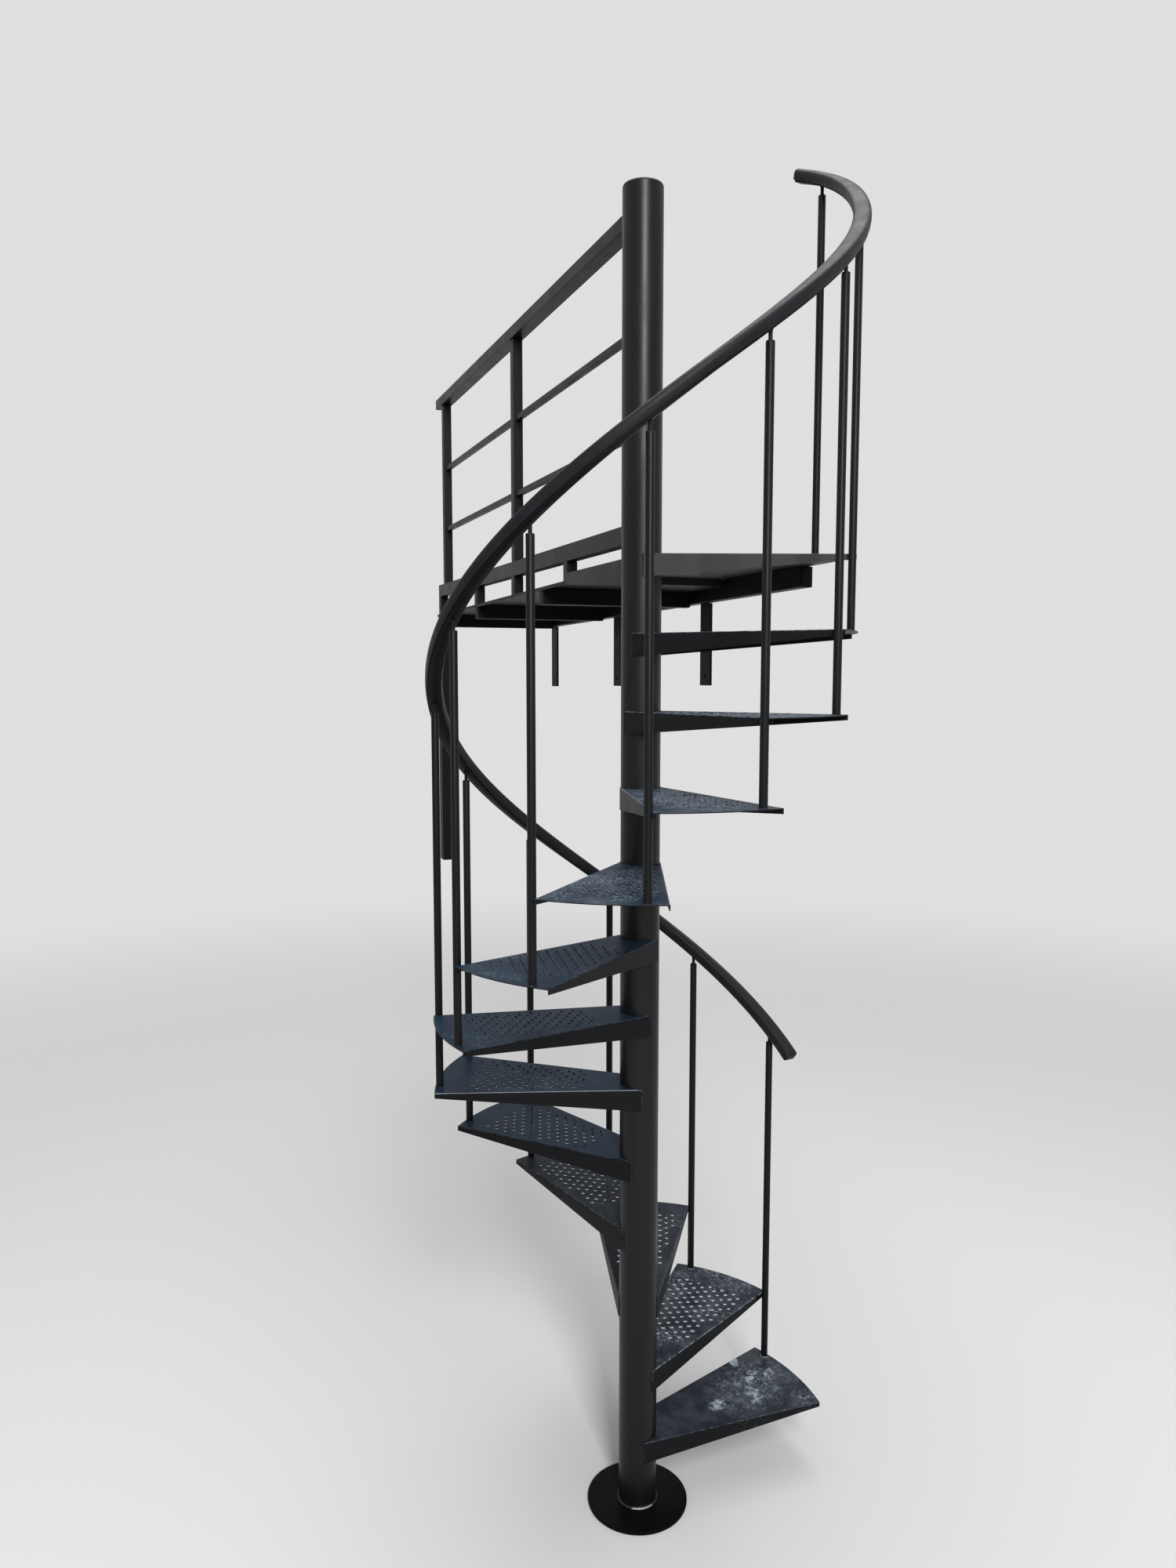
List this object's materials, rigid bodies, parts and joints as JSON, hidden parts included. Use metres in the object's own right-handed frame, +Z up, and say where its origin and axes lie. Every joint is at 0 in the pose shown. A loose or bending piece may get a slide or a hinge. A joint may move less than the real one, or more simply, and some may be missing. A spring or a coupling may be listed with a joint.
{
  "type": "spiral staircase with landing walkway",
  "caption": "Outdoor steel spiral staircase with folded tapered treads round a tube column, slim balusters, a helical handrail and a railed landing walkway.",
  "frame": {"origin": "centre of the base plate's underside, on the floor", "axes": "+Z up the column, +Y along the landing walkway away from the column, +X towards the wall that the walkway runs along"},
  "size_m": [1.2244, 3.1323, 4.0416],
  "materials": {
    "steel": "black powder coat, satin",
    "grip": "dark grey moulded grip, matt"
  },
  "bodies": {
    "root": {"baluster_01": "steel", "baluster_02": "steel", "baluster_03": "steel", "baluster_04": "steel", "baluster_05": "steel", "baluster_06": "steel", "baluster_07": "steel", "baluster_08": "steel", "baluster_09": "steel", "baluster_10": "steel", "baluster_11": "steel", "baluster_12": "steel", "baluster_13": "steel", "base_plate": "steel", "column": "steel", "column_cap": "steel", "end_beam": "steel", "guard_bar_lower": "steel", "guard_bar_upper": "steel", "guard_bottom_rail": "steel", "guard_posts": "steel", "guard_stubs": "steel", "guard_top_rail": "steel", "handrail": "grip", "handrail_bar": "steel", "joists": "steel", "landing_plate": "steel", "support_post": "steel", "tread_01": "steel", "tread_02": "steel", "tread_03": "steel", "tread_04": "steel", "tread_05": "steel", "tread_06": "steel", "tread_07": "steel", "tread_08": "steel", "tread_09": "steel", "tread_10": "steel", "tread_11": "steel", "tread_12": "steel", "walkway_deck": "steel", "wall_beam": "steel", "wall_legs": "steel"}
  },
  "joints": []
}
